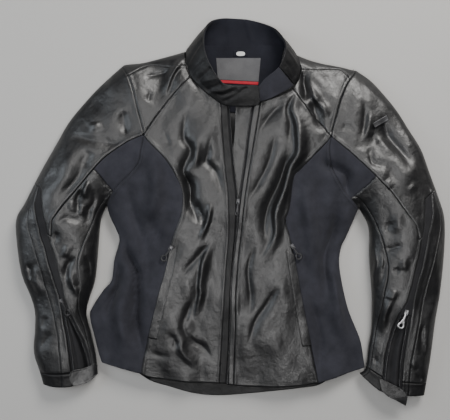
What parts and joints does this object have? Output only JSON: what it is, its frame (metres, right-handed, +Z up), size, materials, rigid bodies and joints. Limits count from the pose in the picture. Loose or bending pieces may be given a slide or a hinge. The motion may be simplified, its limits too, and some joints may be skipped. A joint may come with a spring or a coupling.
{
  "type": "leather motorcycle jacket",
  "caption": "Women's black leather motorcycle jacket with softshell side panels, laid flat with its front up.",
  "frame": {"origin": "centre of the box around the jacket, on the surface that it lies on", "axes": "+X to the wearer's left, +Y from hem to collar, +Z up out of the jacket's front"},
  "size_m": [0.772, 0.6961, 0.065],
  "materials": {
    "leather": "semi-gloss grained black leather",
    "softshell": "matte dark blue-grey stretch softshell",
    "lining": "matte dark lining cloth",
    "zip_tape": "black zip tape",
    "metal": "dark polished metal",
    "label": "plain grey woven patch",
    "label_edge": "plain red edge",
    "badge": "plain grey bar"
  },
  "bodies": {
    "root": {"back_panel": "leather", "back_yoke": "leather", "collar": "leather", "collar_end_left": "softshell", "collar_lining": "lining", "cuff_band_left": "leather", "cuff_band_right": "leather", "cuff_gusset_left": "softshell", "cuff_gusset_right": "softshell", "cuff_slider_left": "metal", "cuff_slider_right": "metal", "cuff_tab_left": "leather", "cuff_tab_right": "leather", "cuff_tape_inner_left": "zip_tape", "cuff_tape_inner_right": "zip_tape", "cuff_tape_outer_left": "zip_tape", "cuff_tape_outer_right": "zip_tape", "front_left": "leather", "front_right": "leather", "front_slider": "metal", "front_yoke_left": "leather", "front_yoke_right": "leather", "front_zip_tape_left": "zip_tape", "front_zip_tape_right": "zip_tape", "hem_facing": "leather", "label_edge": "label_edge", "neck_facing": "lining", "neck_label": "label", "placket_left": "leather", "pocket_slider_left": "metal", "pocket_slider_right": "metal", "pocket_welt_left": "leather", "pocket_welt_right": "leather", "side_panel_left": "softshell", "side_panel_right": "softshell", "size_tag": "zip_tape", "sleeve_back_left": "leather", "sleeve_back_right": "leather", "sleeve_badge_left": "badge", "sleeve_band_left": "softshell", "sleeve_band_right": "softshell", "sleeve_front_left": "leather", "sleeve_front_right": "leather", "sleeve_inner_left": "leather", "sleeve_inner_right": "leather", "sleeve_outer_left": "leather", "sleeve_outer_right": "leather", "sleeve_upper_left": "leather", "sleeve_upper_right": "leather", "storm_flap": "leather", "underarm_gusset_left": "softshell", "underarm_gusset_right": "softshell", "zip_strip_right": "leather"},
    "cuff_pull_left": {"cuff_pull_left": "metal"},
    "cuff_pull_right": {"cuff_pull_right": "metal"},
    "front_pull": {"front_pull": "metal"},
    "pocket_pull_left": {"pocket_pull_left": "metal"},
    "pocket_pull_right": {"pocket_pull_right": "metal"}
  },
  "joints": [
    {"name": "cuff_pull_left_swing", "type": "hinge", "parent": "root", "child": "cuff_pull_left", "pos_m": [0.3103, -0.1823, 0.04322], "axis": [-0.9345, 0.356, 0], "range_deg": [0, 150]},
    {"name": "cuff_pull_right_swing", "type": "hinge", "parent": "root", "child": "cuff_pull_right", "pos_m": [-0.2977, -0.1623, 0.04316], "axis": [-0.9037, -0.4281, 0], "range_deg": [0, 150]},
    {"name": "front_pull_swing", "type": "hinge", "parent": "root", "child": "front_pull", "pos_m": [0.0133, 0.0137, 0.04652], "axis": [-0.9945, 0.1047, 0], "range_deg": [0, 150]},
    {"name": "pocket_pull_left_swing", "type": "hinge", "parent": "root", "child": "pocket_pull_left", "pos_m": [0.1113, -0.0653, 0.04369], "axis": [-0.848, -0.53, 0], "range_deg": [0, 150]},
    {"name": "pocket_pull_right_swing", "type": "hinge", "parent": "root", "child": "pocket_pull_right", "pos_m": [-0.1067, -0.0683, 0.044], "axis": [-0.824, 0.5665, 0], "range_deg": [0, 150]}
  ]
}
